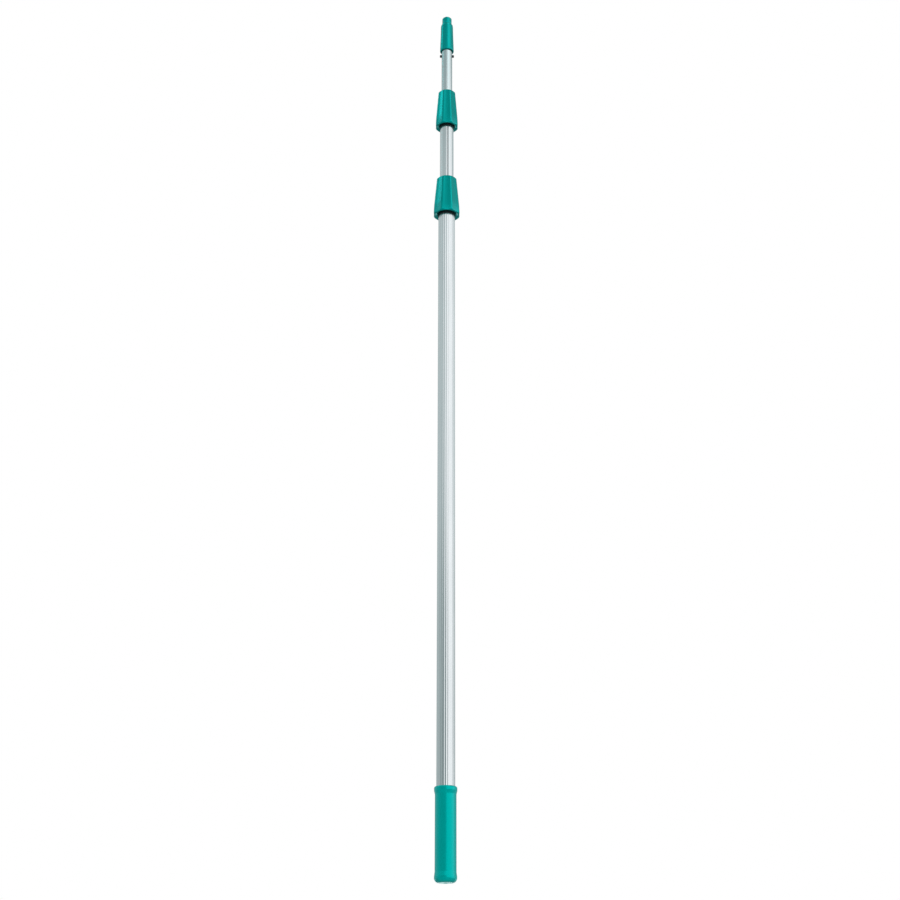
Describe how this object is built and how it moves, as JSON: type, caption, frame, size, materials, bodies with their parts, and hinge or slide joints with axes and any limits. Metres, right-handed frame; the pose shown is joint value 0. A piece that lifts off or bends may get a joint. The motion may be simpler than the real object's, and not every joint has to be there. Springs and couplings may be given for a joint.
{
  "type": "telescopic window cleaning pole",
  "caption": "Telescopic aluminium pole with twist-lock collars, a soft hand grip and a tapered tip with spring buttons that holds window cleaning tools.",
  "frame": {"origin": "centre of the butt face of the hand grip, where the pole would stand on the ground", "axes": "+Z along the pole from the butt to the tip; the spring buttons point along +X and -X; -Y is the front, and the middle tube's guide groove is 10 degrees from it towards +X"},
  "size_m": [0.0472, 0.0472, 1.611],
  "materials": {
    "aluminium": "natural anodised, satin",
    "teal_plastic": "moulded, semi-gloss",
    "grip_vinyl": "soft vinyl, semi-gloss",
    "black_plastic": "moulded, satin",
    "slip_plastic": "natural acetal",
    "rivet_steel": "plain",
    "spring_steel": "blued spring steel",
    "button_chrome": "polished black nickel"
  },
  "bodies": {
    "outer_section": {"outer_tube": "aluminium", "hand_grip": "grip_vinyl", "butt_plug": "black_plastic", "lower_lock_sleeve": "black_plastic", "lower_lock_rivets": "rivet_steel", "lower_collet": "slip_plastic"},
    "lower_slip_ring": {"lower_thrust_ring": "slip_plastic"},
    "lower_collar": {"lower_lock_collar": "teal_plastic"},
    "middle_section": {"middle_tube": "aluminium", "middle_foot_bush": "black_plastic", "middle_foot_rivets": "rivet_steel", "upper_lock_sleeve": "black_plastic", "upper_lock_rivets": "rivet_steel", "upper_collet": "slip_plastic"},
    "upper_slip_ring": {"upper_thrust_ring": "slip_plastic"},
    "upper_collar": {"upper_lock_collar": "teal_plastic"},
    "inner_section": {"inner_tube": "aluminium", "inner_foot_bush": "black_plastic", "inner_foot_rivets": "rivet_steel", "tip_cone": "teal_plastic", "button_spring": "spring_steel"},
    "left_snap": {"left_button": "button_chrome"},
    "right_snap": {"right_button": "button_chrome"}
  },
  "joints": [
    {"name": "lower_lock_lift", "type": "slide", "parent": "outer_section", "child": "lower_slip_ring", "axis": [0, 0, 1], "range_m": [0, 0.0014]},
    {"name": "lower_lock_twist", "type": "hinge", "parent": "lower_slip_ring", "child": "lower_collar", "pos_m": [0, 0, 1.2165], "axis": [0, 0, 1], "range_deg": [0, 120]},
    {"name": "middle_slide", "type": "slide", "parent": "outer_section", "child": "middle_section", "axis": [0, 0, 1], "range_m": [-0.107, 1.0275]},
    {"name": "upper_lock_lift", "type": "slide", "parent": "middle_section", "child": "upper_slip_ring", "axis": [0, 0, 1], "range_m": [0, 0.0014]},
    {"name": "upper_lock_twist", "type": "hinge", "parent": "upper_slip_ring", "child": "upper_collar", "pos_m": [0, 0, 1.4035], "axis": [0, 0, 1], "range_deg": [0, 120]},
    {"name": "inner_slide", "type": "slide", "parent": "middle_section", "child": "inner_section", "axis": [0, 0, 1], "range_m": [-0.079, 1.0735]},
    {"name": "left_button_press", "type": "slide", "parent": "inner_section", "child": "left_snap", "axis": [1, 0, 0], "range_m": [0, 0.003], "stiffness_N_per_m": 400, "springref_m": -0.005, "deforming": ["button_spring"]},
    {"name": "right_button_press", "type": "slide", "parent": "inner_section", "child": "right_snap", "axis": [-1, 0, 0], "range_m": [0, 0.003], "stiffness_N_per_m": 400, "springref_m": -0.005, "deforming": ["button_spring"]}
  ],
  "couplings": [
    {"joint": "lower_lock_lift", "follows": "lower_lock_twist", "m_per_rad": 0.00063662},
    {"joint": "upper_lock_lift", "follows": "upper_lock_twist", "m_per_rad": 0.00063662}
  ]
}
